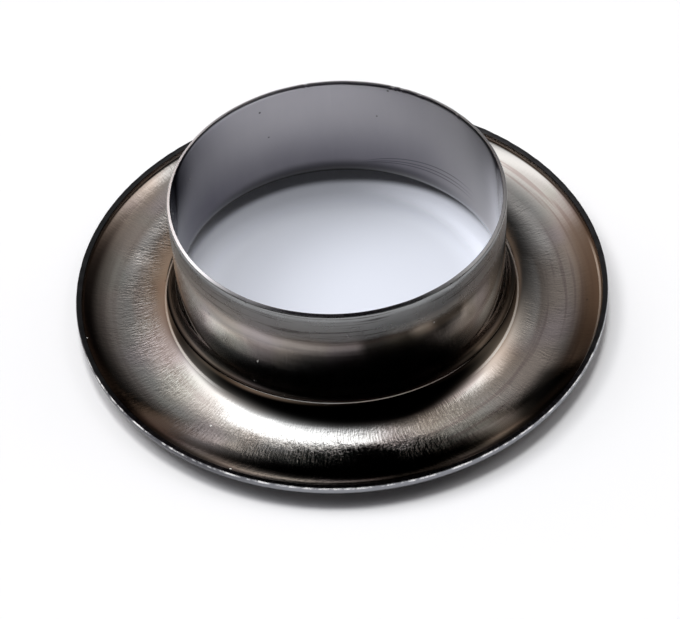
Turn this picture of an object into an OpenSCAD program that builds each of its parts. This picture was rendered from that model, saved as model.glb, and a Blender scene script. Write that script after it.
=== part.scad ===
// Clothing eyelet, the half with the barrel, stamped from one disc of sheet metal.
// It lies as it would on a bench: the domed face down, the open barrel up.
// Millimetres, +Z up, origin on the axis at the level of the surface it rests on.

/* [Barrel] */
// Clear diameter of the hole through the barrel
bore_d = 14.1; // [12:0.1:15]
// Thickness of the sheet, the same all over
sheet_t = 0.23; // [0.2:0.01:0.4]
// Height of the barrel's cut rim above the lowest point of the face
overall_h = 6.55; // [5:0.05:9]
// Small break worn on both corners of the rim
rim_break = 0.05; // [0.02:0.01:0.09]

/* [Foot] */
// Radius of the bend between barrel and flange, on the barrel's side
foot_r = 1.5; // [1:0.05:2.2]
// Slope at which this bend runs out into the flange, degrees down from level
foot_slope = 25; // [0:1:30]

/* [Flange] */
// Diameter across the outside of the curled lip
flange_d = 23.7; // [22.6:0.1:30]
// Slope at which the flange rises to the lip, degrees up from level
rise_slope = 32; // [20:1:45]

/* [Lip] */
// Radius of the bend from flange to lip, on the barrel's side
lip_r = 0.25; // [0.1:0.05:0.5]
// Slope of the lip where it ends, degrees up from level; past 90 it leans in over the flange
lip_slope = 106; // [90:1:112]
// Straight part of the lip above its bend
lip_len = 0.05; // [0.05:0.05:0.6]

/* [Hidden] */
$fn = 96;

bore_r = bore_d / 2;
barrel_r = bore_r + sheet_t;

// Radius of the flange's dish, which fills what the foot and the lip leave of the flange's width.
// The dish falls on from the foot's bend, is level at the lowest point of the face, and rises to the lip.
dish_r = (flange_d / 2 - barrel_r
          - foot_r * (1 - sin(foot_slope))
          - lip_r * (1 - sin(rise_slope))
          - sheet_t)
         / (sin(foot_slope) + sin(rise_slope));

// Height at which the straight barrel ends and the foot's bend begins
foot_z = sheet_t + dish_r - (dish_r - foot_r) * cos(foot_slope);

// Unit directions: from a bend's centre to where the foot, the dish and the lip's bend end, and along the lip
to_fall = [-sin(foot_slope), -cos(foot_slope)];
to_rise = [sin(rise_slope), -cos(rise_slope)];
to_lip = [sin(lip_slope), -cos(lip_slope)];
along_lip = [cos(lip_slope), sin(lip_slope)];

// Centres of the three bends, as [radius, height] in the section
foot_c = [barrel_r + foot_r, foot_z];
dish_c = foot_c - (dish_r - foot_r) * to_fall;
lip_c = dish_c + (dish_r - lip_r) * to_rise;

// Longer than anything in the section, for cuts that run right out of it
reach = overall_h + flange_d;
// From the lip's bend to a place above the rim, along the lip
past_rim = overall_h / sin(lip_slope);

// The channel between barrel and lip, with all its walls set back by grow.
// The two small bends are whole discs, which lie inside the channel's other outlines.
module channel(grow) {
    translate(foot_c)
        circle(foot_r + grow);
    translate(lip_c)
        circle(lip_r + grow);
    translate(dish_c)
        intersection() {
            circle(dish_r + grow);
            polygon([
                [0, 0],
                reach * to_fall,
                reach * to_fall + [0, -reach],
                reach * to_rise + [0, -reach],
                reach * to_rise
            ]);
        }
    polygon([
        [barrel_r - grow, foot_z],
        foot_c,
        lip_c,
        lip_c + (lip_r + grow) * to_lip,
        lip_c + (lip_r + grow) * to_lip + past_rim * along_lip,
        [barrel_r - grow, reach]
    ]);
}

// Everything above the barrel's rim, with the break at both of the rim's corners
module above_rim() {
    polygon([
        [bore_r - rim_break, overall_h - 2 * rim_break],
        [bore_r + rim_break, overall_h],
        [barrel_r - rim_break, overall_h],
        [barrel_r + rim_break, overall_h - 2 * rim_break],
        [2 * reach, overall_h - 2 * rim_break],
        [2 * reach, 2 * reach],
        [bore_r - rim_break, 2 * reach]
    ]);
}

// Everything beyond the lip's sheared edge
module beyond_lip() {
    translate(lip_c)
        rotate(lip_slope)
            translate([lip_len, -reach])
                square(reach);
}

// The whole section, from the barrel's rim to the lip's edge
module sheet_section() {
    difference() {
        channel(sheet_t);
        channel(0);
        above_rim();
        beyond_lip();
    }
}

module eyelet() {
    color([0.42, 0.39, 0.37])
        rotate_extrude()
            sheet_section();
}

eyelet();
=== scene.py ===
"""A clothing eyelet of dark plated sheet metal, dressed over its construction model.

Sizes are in millimetres where a name ends in _MM, and are turned into metres where they are used.
Slopes, turns and rises are in degrees. The finishes read places on the piece in millimetres: x runs to
the right, y to the back and z up, with the radius from the barrel's axis, and the angle about it in
radians from the front towards the right.
"""
import math
import bpy
from mathutils import Matrix, Vector
from mathutils.noise import noise as fine_noise


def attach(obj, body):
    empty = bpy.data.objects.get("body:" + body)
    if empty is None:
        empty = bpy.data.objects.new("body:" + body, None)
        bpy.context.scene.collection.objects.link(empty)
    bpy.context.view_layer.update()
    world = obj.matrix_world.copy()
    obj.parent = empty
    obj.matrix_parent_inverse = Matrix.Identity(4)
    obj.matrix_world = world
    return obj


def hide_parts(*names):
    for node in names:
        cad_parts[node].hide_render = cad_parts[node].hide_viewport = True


MM = 0.001


def sin_deg(angle):
    return math.sin(math.radians(angle))


def cos_deg(angle):
    return math.cos(math.radians(angle))


# The stamped sheet, as in the construction model
BORE_R_MM = 7.05
SHEET_MM = 0.23
HEIGHT_MM = 6.55
FOOT_R_MM = 1.5
FOOT_SLOPE = 25.0
FLANGE_R_MM = 11.85
RISE_SLOPE = 32.0
LIP_R_MM = 0.25
LIP_SLOPE = 106.0
LIP_LEN_MM = 0.05

# Drawing left the wall thinner towards the rim, which slopes outwards and is well rounded there
RIM_FALL_MM = 0.07
RIM_THIN_MM = 0.07
THIN_FROM_MM = 1.6
OUTER_BREAK_MM = 0.04
INNER_BREAK_MM = 0.015
BREAK_STEPS = 3

# Nicks in the rim: angle in degrees from the front towards the right, half width in degrees and depth
NICKS = (
    (157.0, 0.9, 0.08),
    (153.5, 0.7, 0.06),
    (146.3, 1.1, 0.05),
    (129.2, 1.0, 0.07),
    (-171.0, 0.8, 0.04),
)
# The rim is slightly wavy and the sheared lip slightly ragged: how deep each is, and how fine
RIM_WAVE_MM = 0.008
RIM_WAVE_FINE = 9.0
LIP_RAG_MM = 0.022
LIP_RAG_FINE = 30.0
# The lip's edge is also worn down a little all round
LIP_WORN_MM = 0.01

# Specks of dirt in the bore: angle in degrees as above, height and radius
BORE_SPECKS = (
    (-152.7, 5.68, 0.07),
    (158.8, 6.26, 0.09),
    (-155.4, 4.05, 0.05),
    (163.2, 4.67, 0.05),
)
# Marks of the punch low in the bore: height where each starts near the back, and how steeply it climbs
PUNCH_MARKS = (
    (1.75, 1.3),
    (1.8, 1.75),
    (1.9, 2.2),
)
# The angle where they start, in radians from the front, and how soon they arch over
MARKS_START = 2.9
MARKS_ARCH = 0.7

# Radius of the flange's dish, and the place of the foot bend's centre in the section
DISH_R_MM = (FLANGE_R_MM - BORE_R_MM - 2 * SHEET_MM
             - FOOT_R_MM * (1 - sin_deg(FOOT_SLOPE))
             - LIP_R_MM * (1 - sin_deg(RISE_SLOPE))) / (sin_deg(FOOT_SLOPE) + sin_deg(RISE_SLOPE))
FOOT_IN_MM = BORE_R_MM + SHEET_MM + FOOT_R_MM
FOOT_UP_MM = SHEET_MM + DISH_R_MM - (DISH_R_MM - FOOT_R_MM) * cos_deg(FOOT_SLOPE)
# Height of the lip's sheared edge
LIP_TOP_MM = (SHEET_MM + DISH_R_MM - (DISH_R_MM - LIP_R_MM) * cos_deg(RISE_SLOPE)
              - (LIP_R_MM + SHEET_MM) * cos_deg(LIP_SLOPE) + LIP_LEN_MM * sin_deg(LIP_SLOPE))

# How finely the shell is divided, and the angle in degrees below which its faces are shaded as one
TURN_STEPS = 480
WALL_STEPS = 12
FOOT_STEPS = 20
DISH_STEPS = 22
LIP_STEPS = 10
SMOOTH_BELOW = 40

# Points closer together than the first are merged, and heights closer than the second are level
MERGE_MM = 0.001
LEVEL_MM = 0.0001
# How far down from the top the rim reaches, how far in from the outside the lip does, and how far
# down from the lip's top its sheared edge does, when points and edges are picked
RIM_ZONE_MM = 0.1
LIP_ZONE_MM = 1.0
LIP_EDGE_ZONE_MM = 0.05
# How nearly a face looks along the lip or straight up, to count as the lip's or the rim's cut face
LOOKS_ALONG_LIP = 0.95
LOOKS_UP = 0.8

# How deep the marks in the metal look
GRAIN_DEEP_MM = 0.011
RADIAL_DEEP_MM = 0.024
RING_DEEP_MM = 0.002
CUT_DEEP_MM = 0.006

# Rings on the flange where painted highlight or painted shade lies: radii from and to, and how soft each
# edge is
PAINTED_FLANGE_HIGHLIGHT_RING_MM = (8.2, 8.75, 0.3)
PALE_RING_BEHIND_MM = (8.2, 9.6, 0.6)
PALE_RING_RIGHT_MM = (8.1, 8.7, 0.3)
PAINTED_FOOT_SHADE_RING_MM = (7.36, 7.8, 0.04)
FOOT_LINE_MM = (7.85, 7.9, 0.03)
LIP_LINE_MM = (11.48, 11.53, 0.03)
# Radii over which something starts or ends
GRAIN_STARTS_MM = (7.9, 8.7)
GRAIN_ENDS_MM = (9.6, 10.6)
BROWN_STARTS_MM = (9.9, 11.2)
BLACK_STARTS_MM = (10.2, 10.8)
BLACK_STARTS_RIGHT_MM = (9.6, 10.3)
SHADE_BY_LIP_STARTS_MM = (10.4, 11.0)
BARREL_ENDS_MM = (7.3, 7.7)
CORNER_STARTS_MM = (10.9, 11.3)
CORNER_ENDS_MM = (11.68, 11.74)
LIP_SIDE_STARTS_MM = (11.64, 11.7)
# Radii within the wall where its outer side starts, and where the bore's shade ends
OUTER_SIDE_STARTS_MM = (BORE_R_MM + 0.09, BORE_R_MM + 0.15)
BORE_SHADE_ENDS_MM = (BORE_R_MM + 0.02, BORE_R_MM + 0.2)
# Heights on the barrel: from and to, and how soft each edge is where a third number is given
BARREL_STARTS_MM = (1.2, 2.6)
LOW_PATCH_MM = (3.2, 4.0, 0.4)
HIGH_PATCH_MM = (4.5, 5.2, 0.3)
DARK_PATCH_MM = (3.6, 4.6, 0.4)
WORN_BAND_STARTS_MM = (4.95, 5.45)
PAINTED_BORE_SHADE_STARTS_MM = (3.5, 5.6)
PAINTED_BEND_SHADE_ENDS_MM = (FOOT_UP_MM - 0.75, FOOT_UP_MM + 0.1)
GLINTS_START_MM = (LIP_TOP_MM - 0.1, LIP_TOP_MM - 0.07)
# Half width of a punch mark, from its dark middle to its edge
MARK_HALF_MM = (0.015, 0.04)

# The painted glow for the light that the bore throws on the ground: its strength, and its inner and outer
# edge from the axis
THROWN_STRENGTH = 0.2
THROWN_INNER_MM = (5.2, 7.0)
THROWN_OUTER_MM = (7.25, 7.75)
# It changes over this much to the right, where it is stronger and goes further out, with its own inner edge
THROWN_CHANGES_MM = (0.0, 6.0)
THROWN_RIGHT_STRENGTH = 0.3
THROWN_RIGHT_INNER_MM = (6.2, 7.1)
THROWN_RIGHT_FURTHER_MM = 0.35
# Distances from the axis over which the ground's bluer shade ends
BLUER_ENDS_MM = (7.0, 12.0)

WHITE = (1.0, 1.0, 1.0, 1.0)
# Colours of the plated flange, with the highlights and shade painted on it
WARM_GREY = (0.325, 0.317, 0.303, 1.0)
STAIN_BROWN = (0.335, 0.282, 0.245, 1.0)
STAIN_MAUVE = (0.335, 0.285, 0.295, 1.0)
STAIN_GREEN = (0.29, 0.315, 0.27, 1.0)
GRAIN_SPECKLE = (0.14, 0.125, 0.11, 1.0)
RING_BROWN = (0.2, 0.155, 0.145, 1.0)
PAINTED_FLANGE_HIGHLIGHT = (0.58, 0.58, 0.57, 1.0)
PAINTED_FLANGE_SHADE = (0.03, 0.027, 0.022, 1.0)
PAINTED_FLANGE_LIGHT = (0.56, 0.53, 0.5, 1.0)
PAINTED_SHADE_BY_LIP = (0.15, 0.115, 0.09, 1.0)
PAINTED_FOOT_SHADE = (0.06, 0.058, 0.045, 1.0)
PAINTED_HIGHLIGHT_LINE = (0.75, 0.73, 0.7, 1.0)
# Colours of the barrel and its bore, with the light and shade painted on them
BARREL_GREY = (0.3, 0.31, 0.315, 1.0)
PAINTED_BARREL_LIGHT = (0.6, 0.59, 0.57, 1.0)
PAINTED_BARREL_SHADE = (0.1, 0.1, 0.09, 1.0)
BARREL_SKIN = (0.2, 0.2, 0.2, 1.0)
SCRATCH_DARK = (0.05, 0.045, 0.045, 1.0)
BORE_DEEP = (0.14, 0.132, 0.155, 1.0)
BORE_PALE = (0.4, 0.378, 0.37, 1.0)
PAINTED_BORE_SHADE = (0.03, 0.03, 0.04, 1.0)
# The same painted shade at a low angle, where metal mirrors most
PAINTED_BORE_SHADE_LOW = (0.15, 0.15, 0.17, 1.0)
PUNCH_MARK_DARK = (0.08, 0.075, 0.085, 1.0)
PAINTED_BEND_SHADE = (0.03, 0.03, 0.035, 1.0)
# Colours of the lip with its painted shade and glints, of dirt and of dust
PAINTED_CORNER_SHADE = (0.035, 0.024, 0.02, 1.0)
PAINTED_LIP_SIDE_SHADE = (0.085, 0.085, 0.095, 1.0)
LIP_SIDE_GREY = (0.23, 0.235, 0.255, 1.0)
PAINTED_GLINT = (0.9, 0.9, 0.9, 1.0)
CUT_BLACK = (0.01, 0.009, 0.011, 1.0)
CUT_GREY = (0.035, 0.032, 0.037, 1.0)
DIRT_DARK = (0.03, 0.03, 0.03, 1.0)
DUST_PALE = (0.75, 0.75, 0.74, 1.0)
# Colours of the ground, away from the axis and near it where it is painted bluer, and of the glow on it,
# which lifts it evenly and paints the light the bore throws
GROUND_WHITE = (0.855, 0.868, 0.9, 1.0)
GROUND_BLUE = (0.73, 0.77, 0.87, 1.0)
GROUND_GLOW = (0.87, 0.9, 1.0, 1.0)
# How much the whole ground is lifted towards white where it is seen
GROUND_LIFT = 0.018
# The side of the ground, in metres
GROUND_SIZE = 0.8

# Colours of the lamps and of the light in the room
LAMP_WHITE = (1.0, 0.985, 0.95)
WINDOW_WHITE = (0.985, 1.0, 1.03)
ROOM_WARM = (1.08, 0.99, 0.9)
ROOM_BROWN = (1.26, 0.95, 0.74)
# Soft patches of light in the room: turn from the back towards the right and rise, in degrees,
# half width and half height, colour and strength
ROOM_LIGHTS = (
    (-77, 56, 0.387, 0.451, WINDOW_WHITE, 1.03),
    (-46, 20, 0.343, 0.607, ROOM_BROWN, 0.5),
    (1, 76, 1.143, 0.255, ROOM_WARM, 0.44),
    (-21, 63, 0.607, 0.365, WINDOW_WHITE, 0.72),
    (78, 49, 0.214, 0.246, WINDOW_WHITE, 1.1),
    (43, 11, 0.731, 0.15, ROOM_BROWN, 0.13),
    (-46, 78, 0.226, 0.219, WINDOW_WHITE, 1.9),
    (-74, 52, 0.135, 0.339, WINDOW_WHITE, 1.2),
    (74, 57, 0.141, 0.107, WINDOW_WHITE, 1.25),
    (-118, 3, 0.581, 0.121, ROOM_BROWN, 0.3),
    (74, 37, 0.319, 0.365, ROOM_WARM, 0.62),
)

# The camera, from ellipses fitted to the rim and the lip in a picture 680 pixels wide
PICTURE_W = 680
FOCAL_PX = 2066.95
CAMERA_FAR_MM = 88.35
CAMERA_RISE = 43.74
AXIS_DIP = 47.016
AXIS_TURN = 0.114
CAMERA_ROLL = -3.295
FILM_W_MM = 36.0
# How near and how far it sees, in metres
CLIP_NEAR = 0.005
CLIP_FAR = 10.0


def towards(turn, rise):
    """The direction at a turn from the back towards the right, and a rise from the level."""
    return Vector((sin_deg(turn) * cos_deg(rise), cos_deg(turn) * cos_deg(rise), sin_deg(rise)))


def deselect_objects():
    bpy.ops.object.select_all(action="DESELECT")


# Node trees

def add_node(tree, kind, inputs=None, **settings):
    """Adds a node, sets its properties, and fills or links its inputs."""
    made = tree.nodes.new(kind)
    for name, value in settings.items():
        setattr(made, name, value)
    for key, value in (inputs or {}).items():
        fill_socket(tree, made.inputs[key], value)
    return made


def fill_socket(tree, socket, value):
    if isinstance(value, bpy.types.NodeSocket):
        tree.links.new(value, socket)
    else:
        socket.default_value = value


def calc(tree, operation, *values):
    """A Math node's result."""
    made = add_node(tree, "ShaderNodeMath", operation=operation)
    for socket, value in zip(made.inputs, values):
        fill_socket(tree, socket, value)
    return made.outputs[0]


def times(tree, first, *others):
    """All the values multiplied."""
    for value in others:
        first = calc(tree, "MULTIPLY", first, value)
    return first


def plus(tree, first, *others):
    """All the values added."""
    for value in others:
        first = calc(tree, "ADD", first, value)
    return first


def minus(tree, first, second):
    return calc(tree, "SUBTRACT", first, second)


def larger(tree, first, second):
    return calc(tree, "MAXIMUM", first, second)


def vector_calc(tree, operation, inputs):
    """A Vector Math node."""
    return add_node(tree, "ShaderNodeVectorMath", inputs, operation=operation)


def dot(tree, vector, axis):
    return vector_calc(tree, "DOT_PRODUCT", {0: vector, 1: axis}).outputs["Value"]


def length_of(tree, vector):
    return vector_calc(tree, "LENGTH", {0: vector}).outputs["Value"]


def spread(tree, value, low, high, to_low, to_high):
    """Maps a range smoothly on to another, and stops at its ends."""
    inputs = {"Value": value, "From Min": low, "From Max": high, "To Min": to_low, "To Max": to_high}
    made = add_node(tree, "ShaderNodeMapRange", inputs, interpolation_type="SMOOTHSTEP")
    return made.outputs["Result"]


def rising(tree, value, low, high, full=1.0):
    """Nothing below a range and full above it."""
    return spread(tree, value, low, high, 0.0, full)


def falling(tree, value, low, high, full=1.0):
    """Full below a range and nothing above it."""
    return spread(tree, value, low, high, full, 0.0)


def between(tree, value, low, high, soft):
    """One between two values, and soft at both ends."""
    return times(tree, rising(tree, value, low - soft, low), falling(tree, value, high, high + soft))


def noise(tree, vector, scale, detail=2.0, rough=0.5, warp=0.0):
    inputs = {"Vector": vector, "Scale": scale, "Detail": detail, "Roughness": rough, "Distortion": warp}
    return add_node(tree, "ShaderNodeTexNoise", inputs).outputs["Fac"]


def cell_distance(tree, vector, scale):
    """Distance from the nearest of many scattered points, as a share of their spacing."""
    return add_node(tree, "ShaderNodeTexVoronoi", {"Vector": vector, "Scale": scale}).outputs["Distance"]


def join_xyz(tree, x, y, z):
    return add_node(tree, "ShaderNodeCombineXYZ", {"X": x, "Y": y, "Z": z}).outputs[0]


def mix_colour(tree, amount, first, second):
    made = add_node(tree, "ShaderNodeMix", data_type="RGBA")
    for name, kind, value in (("Factor", "VALUE", amount), ("A", "RGBA", first), ("B", "RGBA", second)):
        socket = next(s for s in made.inputs if s.name == name and s.type == kind)
        fill_socket(tree, socket, value)
    return next(s for s in made.outputs if s.type == "RGBA")


def paint(tree, under, colour, *amounts):
    """Lays a colour over another, as far as all the amounts multiplied say."""
    return mix_colour(tree, times(tree, *amounts), under, colour)


def bump_of(tree, height, deep_mm, before=None):
    inputs = {"Height": height, "Distance": deep_mm * MM, "Strength": 1.0}
    if before is not None:
        inputs["Normal"] = before
    return add_node(tree, "ShaderNodeBump", inputs).outputs["Normal"]


def new_material(name):
    made = bpy.data.materials.new(name)
    made.use_nodes = True
    made.node_tree.nodes.clear()
    return made, made.node_tree


def finish_material(tree, shader):
    out = tree.nodes.new("ShaderNodeOutputMaterial")
    tree.links.new(shader, out.inputs["Surface"])


def metal_shader(tree, tint, rough, normal):
    inputs = {"Base Color": tint, "Metallic": 1.0, "Roughness": rough, "Normal": normal}
    return add_node(tree, "ShaderNodeBsdfPrincipled", inputs)


def place_in_mm(tree):
    coords = add_node(tree, "ShaderNodeTexCoord").outputs["Object"]
    return vector_calc(tree, "SCALE", {0: coords, "Scale": 1 / MM}).outputs[0]


class PlaceOnPiece:
    """Where a point of the piece is, in millimetres, with its radius from the axis and angle about it."""

    def __init__(self, tree):
        self.place = place_in_mm(tree)
        self.x, self.y, self.z = add_node(tree, "ShaderNodeSeparateXYZ", {0: self.place}).outputs
        squares = plus(tree, times(tree, self.x, self.x), times(tree, self.y, self.y))
        self.radius = calc(tree, "SQRT", squares)
        # The angle's seam is at the back, where fine radial marks hide it
        self.angle = calc(tree, "ARCTAN2", self.x, times(tree, self.y, -1.0))


# The plating

def outside_of_wall(tree, at):
    """One on the sheet's outer side and nothing in the bore."""
    return rising(tree, at.radius, *OUTER_SIDE_STARTS_MM)


def drawn_relief(tree, at):
    """What drawing left in the metal: the normal, where the coarse grain lies, and the rings."""
    # Where the drawing stretched the sheet most, outside the foot, the grain is coarse
    grain_from = rising(tree, at.radius, *GRAIN_STARTS_MM)
    grain_to = spread(tree, at.radius, *GRAIN_ENDS_MM, 1.0, 0.25)
    patches = spread(tree, noise(tree, at.place, 0.55), 0.35, 0.65, 0.45, 1.0)
    finer_right = spread(tree, at.x, 2.0, 7.0, 1.0, 0.45)
    grain_mask = times(tree, grain_from, grain_to, patches, finer_right)
    grain = noise(tree, at.place, 8.5, 3.0, 0.6)

    # Short radial marks: fine along the turn, long across it, and each bent a little
    radial_place = join_xyz(tree, times(tree, at.angle, 95.0), times(tree, at.radius, 2.2), 0.0)
    radial = noise(tree, radial_place, 1.0, 3.0, 0.65, 0.6)

    # Faint rings from the drawing punch, on flange and barrel
    outwards = plus(tree, times(tree, at.radius, 3.0), times(tree, at.z, 3.0))
    ring_place = join_xyz(tree, times(tree, at.x, 0.12), times(tree, at.y, 0.12), outwards)
    rings = noise(tree, ring_place, 1.0, 3.0)

    normal = bump_of(tree, times(tree, grain, grain_mask), GRAIN_DEEP_MM)
    normal = bump_of(tree, times(tree, radial, grain_mask), RADIAL_DEEP_MM, normal)
    normal = bump_of(tree, rings, RING_DEEP_MM, normal)
    return normal, grain_mask, rings


def stains(tree, at, grain_mask, rings):
    """Brown, mauve and greenish stains over warm grey, with dark speckle in the grain and darker rings."""
    brown = rising(tree, noise(tree, at.place, 0.16), 0.4, 0.62)
    mauve = rising(tree, noise(tree, join_xyz(tree, at.y, at.z, at.x), 0.23), 0.5, 0.68)
    green = rising(tree, noise(tree, join_xyz(tree, at.z, at.x, at.y), 0.3), 0.52, 0.7)
    # Browner towards the lip, in front and at the left
    outer = rising(tree, plus(tree, at.radius, noise(tree, at.place, 0.3)), *BROWN_STARTS_MM)
    in_front = falling(tree, at.y, 0.5, 4.5, 0.8)
    at_left = falling(tree, at.x, -8.8, -7.8, 0.9)
    outer = times(tree, outer, larger(tree, in_front, at_left))
    tint = paint(tree, WARM_GREY, STAIN_BROWN, larger(tree, brown, outer))
    tint = paint(tree, tint, STAIN_MAUVE, mauve, 0.6)
    tint = paint(tree, tint, STAIN_GREEN, green, 0.25)
    speckle = falling(tree, noise(tree, at.place, 13.0, 2.0, 0.7), 0.38, 0.62, 0.45)
    tint = paint(tree, tint, GRAIN_SPECKLE, speckle, grain_mask)
    # The rings show as darker bands, most of all on the right
    more_right = spread(tree, at.x, -2.0, 6.0, 0.2, 0.6)
    return paint(tree, tint, RING_BROWN, rising(tree, rings, 0.5, 0.62), more_right)


def painted_flange_light_and_shade(tree, at, tint):
    """Painted highlights and painted shade on the flange: pale and dark patches, and bright lines."""
    aside = calc(tree, "ABSOLUTE", at.x)
    # Painted highlight, brightest in front on the left
    tint = paint(tree, tint, PAINTED_FLANGE_HIGHLIGHT, between(tree, at.radius, *PAINTED_FLANGE_HIGHLIGHT_RING_MM),
                 between(tree, at.x, -4.5, 0.5, 1.5), falling(tree, at.y, -6.0, -4.0, 0.85))
    # Painted shade, black beside the lip, in front on the right and again further right
    in_front = times(tree, rising(tree, at.radius, *BLACK_STARTS_MM), between(tree, at.x, 2.0, 5.2, 1.2),
                     falling(tree, at.y, -7.0, -4.5, 0.9))
    further = times(tree, rising(tree, at.radius, *BLACK_STARTS_RIGHT_MM),
                    between(tree, at.y, -7.8, -5.6, 0.8), rising(tree, at.x, 6.7, 7.6, 0.8))
    tint = paint(tree, tint, PAINTED_FLANGE_SHADE, larger(tree, in_front, further))
    # Painted light beside the barrel, at both sides of the back and at the right
    behind = times(tree, between(tree, at.radius, *PALE_RING_BEHIND_MM), rising(tree, at.y, 0.5, 3.0),
                   rising(tree, aside, 4.0, 6.5))
    at_right = times(tree, between(tree, at.radius, *PALE_RING_RIGHT_MM),
                     between(tree, at.y, -3.0, 1.0, 1.5), rising(tree, at.x, 6.0, 7.5, 0.8))
    tint = paint(tree, tint, PAINTED_FLANGE_LIGHT, larger(tree, behind, at_right))
    # Painted shade, darker along the lip at both sides
    tint = paint(tree, tint, PAINTED_SHADE_BY_LIP, rising(tree, at.radius, *SHADE_BY_LIP_STARTS_MM),
                 between(tree, at.y, -3.5, 2.5, 2.0), spread(tree, at.x, -8.0, 9.0, 0.5, 0.85))
    # Painted shade in the foot's bend at the sides, inside a painted highlight line; another painted
    # highlight line runs by the lip at the right
    tint = paint(tree, tint, PAINTED_FOOT_SHADE, between(tree, at.radius, *PAINTED_FOOT_SHADE_RING_MM),
                 rising(tree, aside, 4.0, 5.5), 0.7)
    foot_line = times(tree, between(tree, at.radius, *FOOT_LINE_MM), rising(tree, aside, 5.0, 6.8))
    lip_line = times(tree, between(tree, at.radius, *LIP_LINE_MM), rising(tree, at.x, 8.5, 10.0),
                     falling(tree, at.y, 0.0, 2.5))
    highlight_lines = larger(tree, foot_line, lip_line)
    return paint(tree, tint, PAINTED_HIGHLIGHT_LINE, highlight_lines), highlight_lines


def barrel_shades(tree, at, tint):
    """The barrel is plain neutral grey, with painted light and painted shade in patches outside."""
    barrel = times(tree, falling(tree, at.radius, *BARREL_ENDS_MM), rising(tree, at.z, *BARREL_STARTS_MM))
    tint = paint(tree, tint, BARREL_GREY, barrel)
    # Painted light low on the left, and high in front on the right
    low_left = times(tree, between(tree, at.z, *LOW_PATCH_MM), between(tree, at.x, -5.4, -2.6, 1.2))
    high_right = times(tree, between(tree, at.z, *HIGH_PATCH_MM), between(tree, at.x, 2.2, 4.6, 0.8))
    tint = paint(tree, tint, PAINTED_BARREL_LIGHT, larger(tree, low_left, high_right),
                 falling(tree, at.y, -4.5, -3.0), barrel)
    # Painted shade, darker at the right
    return paint(tree, tint, PAINTED_BARREL_SHADE, between(tree, at.z, *DARK_PATCH_MM),
                 rising(tree, at.x, 4.4, 5.6), falling(tree, at.y, -1.0, 0.5, 0.7), barrel)


def bore_shades(tree, at, tint):
    """The bore is a little violet and mottled, with painted light upwards and to the right, and painted
    shade, black, at the left below the rim.
    """
    clouds = join_xyz(tree, times(tree, at.angle, 5.0), 0.0, times(tree, at.z, 0.25))
    clouds = times(tree, noise(tree, clouds, 1.0, 3.0, 0.6), 0.16)
    # Painted light: lighter from the left towards the right and upwards, over a random mottle
    from_left = spread(tree, at.x, -7.0, -3.5, 0.15, 0.57)
    at_right = rising(tree, at.x, 3.5, 6.5)
    upwards = times(tree, spread(tree, at.z, 1.8, 5.0, -0.38, 0.12), minus(tree, 1.0, at_right))
    mottle_and_painted_light = plus(tree, clouds, from_left, times(tree, at_right, 0.35), upwards)
    wall = mix_colour(tree, mottle_and_painted_light, BORE_DEEP, BORE_PALE)
    in_bore = falling(tree, at.radius, *BORE_SHADE_ENDS_MM)
    # Painted shade, black at the left below the rim
    at_left = falling(tree, at.x, -7.1, -6.1, 0.75)
    black = times(tree, at_left, rising(tree, at.z, *PAINTED_BORE_SHADE_STARTS_MM), in_bore)
    wall = mix_colour(tree, black, wall, PAINTED_BORE_SHADE)
    edge_tint = mix_colour(tree, black, WHITE, PAINTED_BORE_SHADE_LOW)
    return paint(tree, tint, wall, in_bore), edge_tint


def worn_band(tree, at, outside, tint):
    """The top of the barrel kept the duller skin of the sheet, with scratches round it."""
    band_height = plus(tree, at.z, times(tree, noise(tree, at.place, 0.5), 0.5))
    band = times(tree, rising(tree, band_height, *WORN_BAND_STARTS_MM), outside)
    scratch_place = join_xyz(tree, times(tree, at.angle, 1.6), times(tree, at.z, 10.0), 0.0)
    scratches = noise(tree, scratch_place, 1.0, 4.0, 0.65, 0.5)
    scratches = times(tree, rising(tree, scratches, 0.55, 0.62), band)
    tint = paint(tree, tint, BARREL_SKIN, band, 0.5)
    return paint(tree, tint, SCRATCH_DARK, scratches, 0.75), band


def bore_marks(tree, at, outside, tint):
    """Thin arched marks of the punch low in the bore, on the right at the back, and painted shade in the
    foot's bend.
    """
    marked = times(tree, rising(tree, at.angle, 2.0, 2.35), falling(tree, at.angle, 2.8, 3.0),
                   minus(tree, 1.0, outside))
    past_start = minus(tree, MARKS_START, at.angle)
    arch = times(tree, past_start, minus(tree, 1.0, times(tree, past_start, MARKS_ARCH)))
    for height, climb in PUNCH_MARKS:
        off = minus(tree, minus(tree, at.z, times(tree, arch, climb)), height)
        thin = falling(tree, calc(tree, "ABSOLUTE", off), *MARK_HALF_MM, 0.7)
        tint = paint(tree, tint, PUNCH_MARK_DARK, thin, marked)
    # Painted shade, the inside of the foot's bend nearly black
    from_foot = join_xyz(tree, minus(tree, at.radius, FOOT_IN_MM), minus(tree, at.z, FOOT_UP_MM), 0.0)
    from_foot = length_of(tree, from_foot)
    return paint(tree, tint, PAINTED_BEND_SHADE, rising(tree, from_foot, FOOT_R_MM + 0.08, FOOT_R_MM + 0.15),
                 falling(tree, at.z, *PAINTED_BEND_SHADE_ENDS_MM),
                 falling(tree, at.radius, FOOT_IN_MM - 0.6, FOOT_IN_MM), 0.85)


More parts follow.
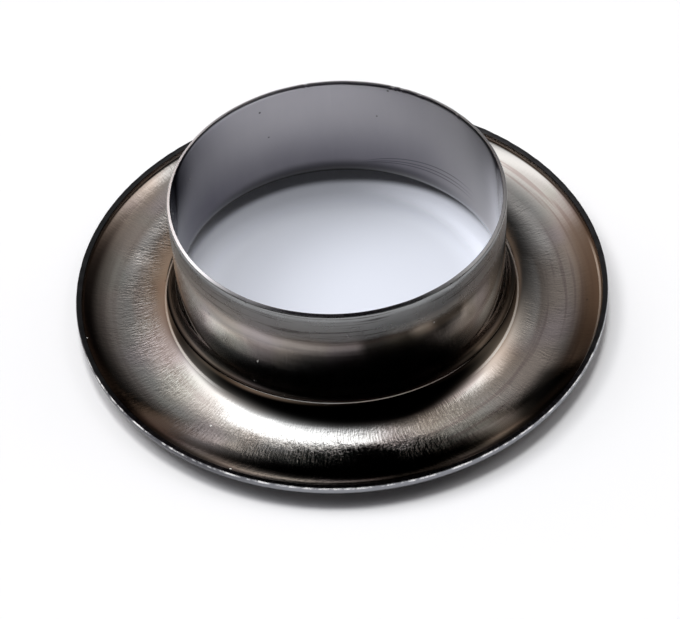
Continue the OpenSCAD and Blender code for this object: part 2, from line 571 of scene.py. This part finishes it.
def lip_shades(tree, at, tint):
    """Painted shade in the corner of the lip, cooler grey outside it with painted shade at the left, and
    painted glints along its sheared corner.
    """
    corner_starts = rising(tree, at.radius, *CORNER_STARTS_MM)
    corner = times(tree, corner_starts, falling(tree, at.radius, *CORNER_ENDS_MM))
    # Most of the painted shade is on the left and in front
    across = plus(tree, times(tree, at.x, 0.5), at.y, noise(tree, at.place, 0.5))
    tint = paint(tree, tint, PAINTED_CORNER_SHADE, corner, spread(tree, across, -3.0, 5.0, 0.93, 0.15))
    lip_side = rising(tree, at.radius, *LIP_SIDE_STARTS_MM)
    # The lip's outer side is grey, with painted shade towards the left
    side_grey = mix_colour(tree, rising(tree, at.x, -7.0, -2.0), PAINTED_LIP_SIDE_SHADE, LIP_SIDE_GREY)
    tint = paint(tree, tint, side_grey, lip_side)
    # Painted glints along the sheared corner, in front
    glints = noise(tree, join_xyz(tree, times(tree, at.angle, 17.0), 0.0, at.z), 1.0, 4.0, 0.75)
    at_edge = rising(tree, at.z, *GLINTS_START_MM)
    in_front = falling(tree, at.y, -6.0, -2.0)
    glints = times(tree, rising(tree, glints, 0.42, 0.62), at_edge, lip_side, in_front)
    return paint(tree, tint, PAINTED_GLINT, glints), glints


def dirt_specks(tree, at, outside, tint):
    """Specks of dirt: scattered outside, and each in its own place in the bore."""
    scattered = falling(tree, cell_distance(tree, at.place, 0.62), 0.025, 0.05)
    specks = times(tree, scattered, times(tree, outside, 0.4))
    for turn, height, size in BORE_SPECKS:
        spot = (BORE_R_MM * sin_deg(turn), -BORE_R_MM * cos_deg(turn), height)
        away = vector_calc(tree, "DISTANCE", {0: at.place, 1: spot}).outputs["Value"]
        specks = larger(tree, specks, falling(tree, away, size / 2, size, 0.9))
    return paint(tree, tint, DIRT_DARK, specks)


def dusted(tree, at, shader):
    """A few white grains of dust over a shader."""
    # Moved away from the pattern of the dirt specks
    apart = vector_calc(tree, "ADD", {0: at.place, 1: (3.7, 1.9, 0.4)}).outputs[0]
    grains = falling(tree, cell_distance(tree, apart, 0.5), 0.018, 0.032, 0.9)
    dust = add_node(tree, "ShaderNodeBsdfDiffuse", {"Color": DUST_PALE})
    made = add_node(tree, "ShaderNodeMixShader", {0: grains, 1: shader.outputs[0], 2: dust.outputs[0]})
    return made.outputs[0]


def plated_finish():
    """Dark nickel plate over drawn sheet: bright, with orange-peel grain, drawing marks and warm stains, and
    with painted highlights, shade and glints.
    """
    made, tree = new_material("dark_nickel_plate")
    at = PlaceOnPiece(tree)
    outside = outside_of_wall(tree, at)
    normal, grain_mask, rings = drawn_relief(tree, at)
    tint = stains(tree, at, grain_mask, rings)
    tint, highlight_lines = painted_flange_light_and_shade(tree, at, tint)
    tint = barrel_shades(tree, at, tint)
    tint, edge_tint = bore_shades(tree, at, tint)
    tint, band = worn_band(tree, at, outside, tint)
    tint = bore_marks(tree, at, outside, tint)
    tint, glints = lip_shades(tree, at, tint)
    tint = dirt_specks(tree, at, outside, tint)

    # Bright all over, and duller on the worn band and on the painted highlight lines and glints
    rough = spread(tree, noise(tree, at.place, 1.1, 3.0), 0.3, 0.7, 0.045, 0.075)
    rough = plus(tree, rough, times(tree, band, 0.22), times(tree, larger(tree, highlight_lines, glints), 0.3))
    shader = metal_shader(tree, tint, rough, normal)
    # The bore's painted shade also sets the metal's tint at low angles
    tree.links.new(edge_tint, shader.inputs["Specular Tint"])
    finish_material(tree, dusted(tree, at, shader))
    return made


def cut_finish(name, behind, left, rough):
    """A sheared edge: raw and black in front, and painted to one level behind and another at the left, which
    on the rim is a painted highlight.
    """
    made, tree = new_material(name)
    at = PlaceOnPiece(tree)
    marks_place = join_xyz(tree, times(tree, at.angle, 90.0), times(tree, at.radius, 2.0), at.z)
    marks = noise(tree, marks_place, 1.0, 3.0, 0.6)
    black = mix_colour(tree, rising(tree, marks, 0.4, 0.75), CUT_BLACK, CUT_GREY)
    # Behind and at the left the edge is painted lighter; on the rim this is a painted highlight
    shade = spread(tree, at.x, -6.3, -4.5, left, behind)
    painted_back_and_left = join_xyz(tree, shade, shade, times(tree, shade, 1.04))
    backwards = plus(tree, at.y, times(tree, noise(tree, at.place, 0.4), 2.0))
    tint = mix_colour(tree, rising(tree, backwards, -6.0, -3.5), black, painted_back_and_left)
    shader = metal_shader(tree, tint, rough, bump_of(tree, marks, CUT_DEEP_MM))
    finish_material(tree, shader.outputs[0])
    return made


# The ground

def painted_thrown_light(tree, place, from_axis):
    """How strongly the ground glows round the bore's shadow, most of it on the right: painted light for the
    light the bore throws.
    """
    across = add_node(tree, "ShaderNodeSeparateXYZ", {0: place}).outputs[0]
    right = rising(tree, across, *THROWN_CHANGES_MM)
    reach = minus(tree, from_axis, times(tree, right, THROWN_RIGHT_FURTHER_MM))
    ring = times(tree, rising(tree, from_axis, *THROWN_INNER_MM), falling(tree, reach, *THROWN_OUTER_MM))
    more_right = rising(tree, from_axis, *THROWN_RIGHT_INNER_MM, THROWN_RIGHT_STRENGTH)
    return times(tree, ring, plus(tree, times(tree, right, more_right), THROWN_STRENGTH))


def paper_finish():
    """The white ground, which keeps the shadow and looks white to the camera and in the metal."""
    made, tree = new_material("white_ground")
    place = place_in_mm(tree)
    from_axis = length_of(tree, place)
    # Painted bluer inside the bore, for the light that comes off the metal
    shade = mix_colour(tree, falling(tree, from_axis, *BLUER_ENDS_MM), GROUND_WHITE, GROUND_BLUE)
    lit = add_node(tree, "ShaderNodeBsdfDiffuse", {"Color": shade})

    path = add_node(tree, "ShaderNodeLightPath").outputs
    seen = larger(tree, path["Is Camera Ray"], path["Is Glossy Ray"])
    seen = larger(tree, seen, path["Is Transmission Ray"])
    # Seen directly and in the metal, the ground is lifted evenly and glows with the painted light the bore
    # throws
    strength = times(tree, seen, plus(tree, painted_thrown_light(tree, place, from_axis), GROUND_LIFT))
    glow = add_node(tree, "ShaderNodeEmission", {"Color": GROUND_GLOW, "Strength": strength})
    both = add_node(tree, "ShaderNodeAddShader", {0: lit.outputs[0], 1: glow.outputs[0]})

    # From below the ground can be seen through
    from_below = add_node(tree, "ShaderNodeNewGeometry").outputs["Backfacing"]
    clear = tree.nodes.new("ShaderNodeBsdfTransparent")
    out = add_node(tree, "ShaderNodeMixShader", {0: from_below, 1: both.outputs[0], 2: clear.outputs[0]})
    finish_material(tree, out.outputs[0])
    return made


def ground(paper):
    deselect_objects()
    bpy.ops.mesh.primitive_plane_add(size=GROUND_SIZE)
    floor = bpy.context.object
    floor.name = "ground"
    floor.data.materials.append(paper)


# The shell

def from_axis_of(place):
    """A point's distance from the barrel's axis."""
    return math.hypot(place.x, place.y)


def lip_height(shell):
    """Height of the highest point of the lip."""
    return max(p.co.z for p in shell.data.vertices if from_axis_of(p.co) > (FLANGE_R_MM - LIP_ZONE_MM) * MM)


def section_centres():
    """Centres of the foot's bend, the dish and the lip's bend in the section, which is in the XZ plane."""
    dish_r = DISH_R_MM * MM
    to_fall = Vector((-sin_deg(FOOT_SLOPE), 0, -cos_deg(FOOT_SLOPE)))
    to_rise = Vector((sin_deg(RISE_SLOPE), 0, -cos_deg(RISE_SLOPE)))
    foot_c = Vector((FOOT_IN_MM, 0, FOOT_UP_MM)) * MM
    dish_c = foot_c - (dish_r - FOOT_R_MM * MM) * to_fall
    lip_c = dish_c + (dish_r - LIP_R_MM * MM) * to_rise
    return foot_c, dish_c, lip_c


def rim_line():
    """One edge across the rim, from the bore to the barrel's outside, made from a plane's points."""
    bpy.ops.mesh.primitive_plane_add(size=1.0)
    strip = bpy.context.object
    strip.name = "eyelet_shell"
    bpy.ops.object.mode_set(mode="EDIT")
    bpy.ops.mesh.delete(type="ONLY_FACE")
    bpy.ops.object.mode_set(mode="OBJECT")
    inner = Vector((BORE_R_MM, 0, HEIGHT_MM)) * MM
    outer = Vector((BORE_R_MM + SHEET_MM, 0, HEIGHT_MM)) * MM
    for number, point in enumerate(strip.data.vertices):
        point.co = inner if number == 0 else outer
    bpy.ops.object.mode_set(mode="EDIT")
    bpy.ops.mesh.select_all(action="SELECT")
    bpy.ops.mesh.remove_doubles(threshold=MERGE_MM * MM)
    return strip


def section_strip(along_lip):
    """Lays the sheet's section out flat in the XZ plane: wall, foot bend, dish, lip bend and lip."""
    foot_c, dish_c, lip_c = section_centres()
    strip = rim_line()
    rim_z = HEIGHT_MM * MM
    wall_step = Vector((0, 0, (foot_c.z - rim_z) / WALL_STEPS))
    for _ in range(WALL_STEPS):
        bpy.ops.mesh.extrude_region_move(TRANSFORM_OT_translate={"value": wall_step})
    bends = (
        (foot_c, 90.0 - FOOT_SLOPE, FOOT_STEPS),
        (dish_c, FOOT_SLOPE + RISE_SLOPE, DISH_STEPS),
        (lip_c, LIP_SLOPE - RISE_SLOPE, LIP_STEPS),
    )
    for centre, angle, steps in bends:
        bpy.ops.mesh.spin(steps=steps, angle=math.radians(angle), center=centre, axis=(0, 1, 0))
    bpy.ops.mesh.extrude_region_move(TRANSFORM_OT_translate={"value": along_lip * LIP_LEN_MM * MM})
    bpy.ops.object.mode_set(mode="OBJECT")

    # The rim slopes outwards, and the wall thins towards it on the bore's side
    for point in strip.data.vertices:
        outside = point.co.x > (BORE_R_MM + SHEET_MM / 2) * MM
        if point.co.z > rim_z - MERGE_MM * MM and outside:
            point.co.z -= RIM_FALL_MM * MM
        up = 1 - (rim_z - point.co.z) / (THIN_FROM_MM * MM)
        if up > 0 and not outside:
            point.co.x += RIM_THIN_MM * MM * up ** 2
    return strip


def turn_about_axis():
    """Turns the section's outline about the axis, without the steps across the sheet."""
    bpy.ops.object.mode_set(mode="EDIT")
    bpy.ops.mesh.select_mode(type="EDGE")
    bpy.ops.mesh.select_all(action="SELECT")
    bpy.ops.mesh.region_to_loop()
    bpy.ops.mesh.select_all(action="INVERT")
    bpy.ops.mesh.delete(type="EDGE")
    bpy.ops.mesh.select_all(action="SELECT")
    bpy.ops.mesh.spin(steps=TURN_STEPS, angle=math.tau, center=(0, 0, 0), axis=(0, 0, 1))
    bpy.ops.mesh.select_all(action="SELECT")
    bpy.ops.mesh.remove_doubles(threshold=MERGE_MM * MM)
    bpy.ops.mesh.normals_make_consistent(inside=False)
    bpy.ops.object.mode_set(mode="OBJECT")


def eyelet_shell(plating, lip_edge, rim_edge):
    along_lip = Vector((cos_deg(LIP_SLOPE), 0, sin_deg(LIP_SLOPE)))
    shell = section_strip(along_lip)
    turn_about_axis()
    for finish in (plating, lip_edge, rim_edge):
        shell.data.materials.append(finish)

    lip_c = section_centres()[2]
    for face in shell.data.polygons:
        centre = face.center
        radius = from_axis_of(centre)
        outward = (face.normal.x * centre.x + face.normal.y * centre.y) / radius
        facing = outward * along_lip.x + face.normal.z * along_lip.z
        if facing > LOOKS_ALONG_LIP and radius > lip_c.x and centre.z > lip_c.z:
            face.material_index = 1
        if centre.z > (HEIGHT_MM - RIM_FALL_MM) * MM and face.normal.z > LOOKS_UP:
            face.material_index = 2
    return shell


def break_edges(shell):
    """Rounds the corners of the cut rim and the cut lip a little, as tumbling and plating leave them."""
    points = shell.data.vertices
    weights = shell.data.attributes.new("bevel_weight_edge", "FLOAT", "EDGE")
    middle = (BORE_R_MM + RIM_THIN_MM / 2 + SHEET_MM / 2) * MM
    lip_top = lip_height(shell)
    for edge in shell.data.edges:
        place = points[edge.vertices[0]].co
        radius = from_axis_of(place)
        level = abs(place.z - points[edge.vertices[1]].co.z) < LEVEL_MM * MM
        at_rim = place.z > (HEIGHT_MM - RIM_ZONE_MM) * MM
        at_lip = radius > (FLANGE_R_MM - LIP_ZONE_MM) * MM and place.z > lip_top - LEVEL_MM * MM
        if level and at_rim and radius > middle:
            weights.data[edge.index].value = 1.0
        elif level and (at_rim or at_lip):
            weights.data[edge.index].value = INNER_BREAK_MM / OUTER_BREAK_MM
    bpy.context.view_layer.objects.active = shell
    shell.select_set(True)
    made = shell.modifiers.new("edge_break", "BEVEL")
    made.width = OUTER_BREAK_MM * MM
    made.segments = BREAK_STEPS
    made.limit_method = "WEIGHT"
    made.material = 0
    bpy.ops.object.modifier_apply(modifier=made.name)
    bpy.ops.object.shade_smooth_by_angle(angle=math.radians(SMOOTH_BELOW))


def nick_rim(shell):
    """Small nicks and a slight waviness in the rim, and a ragged edge on the sheared lip."""
    lip_top = lip_height(shell)
    for point in shell.data.vertices:
        place = point.co
        turn = math.degrees(math.atan2(place.x, -place.y))
        around = Vector((sin_deg(turn), cos_deg(turn), 0.0))
        in_lip = from_axis_of(place) > (FLANGE_R_MM - LIP_ZONE_MM) * MM
        if place.z > (HEIGHT_MM - RIM_ZONE_MM) * MM:
            place.z += RIM_WAVE_MM * MM * (fine_noise(around * RIM_WAVE_FINE) - 1)
            for nick_turn, half, depth in NICKS:
                off = abs((turn - nick_turn + 180) % 360 - 180) / half
                if off < 1:
                    place.z -= depth * MM * (1 - off * off)
        elif in_lip and place.z > lip_top - LIP_EDGE_ZONE_MM * MM:
            place.z += LIP_RAG_MM * MM * fine_noise(around * LIP_RAG_FINE) - LIP_WORN_MM * MM


# Light and camera

def room_light(tree, direction, turn, rise, half_w, half_h, colour, strength):
    """A soft patch of light in the room."""
    ahead = towards(turn, rise)
    across = Vector((cos_deg(turn), -sin_deg(turn), 0.0))
    x = calc(tree, "DIVIDE", dot(tree, direction, across), half_w)
    y = calc(tree, "DIVIDE", dot(tree, direction, across.cross(ahead)), half_h)
    off = calc(tree, "POWER", plus(tree, times(tree, x, x), times(tree, y, y)), 1.5)
    fall = calc(tree, "EXPONENT", times(tree, off, -1.0))
    this_side = calc(tree, "GREATER_THAN", dot(tree, direction, ahead), 0.0)
    amount = times(tree, fall, this_side, strength)
    return vector_calc(tree, "SCALE", {0: colour, "Scale": amount}).outputs[0]


def surroundings():
    """A dim room with a big window on the left, a small one on the right and a pale ceiling."""
    world = bpy.data.worlds.new("studio")
    bpy.context.scene.world = world
    world.use_nodes = True
    tree = world.node_tree
    tree.nodes.clear()
    # In a world this output is the direction that is looked in
    direction = add_node(tree, "ShaderNodeTexCoord").outputs["Generated"]
    first, *others = [room_light(tree, direction, *light) for light in ROOM_LIGHTS]
    for patch in others:
        first = vector_calc(tree, "ADD", {0: first, 1: patch}).outputs[0]
    room = add_node(tree, "ShaderNodeBackground", {"Color": first, "Strength": 1.0})
    # Straight to the camera the room is white, as the ground is
    straight = add_node(tree, "ShaderNodeLightPath").outputs["Is Camera Ray"]
    plain = add_node(tree, "ShaderNodeBackground", {"Color": WHITE, "Strength": 1.0})
    mixed = add_node(tree, "ShaderNodeMixShader", {0: straight, 1: room.outputs[0], 2: plain.outputs[0]})
    out = tree.nodes.new("ShaderNodeOutputWorld")
    tree.links.new(mixed.outputs[0], out.inputs["Surface"])


def lamp(name, turn, rise, strength, width):
    """A soft lamp over the ground, which the metal doesn't mirror."""
    data = bpy.data.lights.new(name, "SUN")
    data.energy = strength
    data.angle = math.radians(width)
    data.color = LAMP_WHITE
    made = bpy.data.objects.new(name, data)
    bpy.context.scene.collection.objects.link(made)
    made.rotation_euler = towards(turn, rise).to_track_quat("Z", "Y").to_euler()
    made.visible_glossy = False


def camera():
    """The camera, which looks at the barrel from in front and above."""
    data = bpy.data.cameras.new("camera")
    made = bpy.data.objects.new("camera", data)
    bpy.context.scene.collection.objects.link(made)
    back = -CAMERA_FAR_MM * cos_deg(CAMERA_RISE)
    up = HEIGHT_MM + CAMERA_FAR_MM * sin_deg(CAMERA_RISE)
    turn = Matrix.Rotation(math.radians(AXIS_TURN), 4, "Z")
    dip = Matrix.Rotation(math.radians(90 - AXIS_DIP), 4, "X")
    roll = Matrix.Rotation(math.radians(CAMERA_ROLL), 4, "Z")
    made.matrix_world = Matrix.Translation(Vector((0, back, up)) * MM) @ turn @ dip @ roll
    data.sensor_fit = "HORIZONTAL"
    data.sensor_width = FILM_W_MM
    data.lens = FOCAL_PX * FILM_W_MM / PICTURE_W
    data.clip_start = CLIP_NEAR
    data.clip_end = CLIP_FAR
    bpy.context.scene.camera = made


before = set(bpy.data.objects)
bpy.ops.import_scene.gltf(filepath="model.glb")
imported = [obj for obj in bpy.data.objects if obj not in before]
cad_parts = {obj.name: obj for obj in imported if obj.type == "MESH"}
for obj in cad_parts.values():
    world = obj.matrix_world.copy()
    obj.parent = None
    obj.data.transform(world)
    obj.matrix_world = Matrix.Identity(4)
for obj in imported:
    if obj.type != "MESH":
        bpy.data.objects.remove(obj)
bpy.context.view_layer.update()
deselect_objects()

lip_edge = cut_finish("dark_lip_edge", behind=0.03, left=0.03, rough=0.3)
# The rim's cut face has a painted highlight behind, brighter at the left
rim_edge = cut_finish("dark_rim_edge", behind=0.42, left=0.95, rough=0.5)
shell = eyelet_shell(plated_finish(), lip_edge, rim_edge)
break_edges(shell)
nick_rim(shell)
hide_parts("eyelet")
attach(shell, "root")

ground(paper_finish())
surroundings()
lamp("ceiling_lamp", turn=-8.0, rise=81.0, strength=1.15, width=14.0)
lamp("window_lamp", turn=-60.0, rise=53.0, strength=0.7, width=24.0)
camera()
bpy.context.scene.view_settings.view_transform = "Standard"
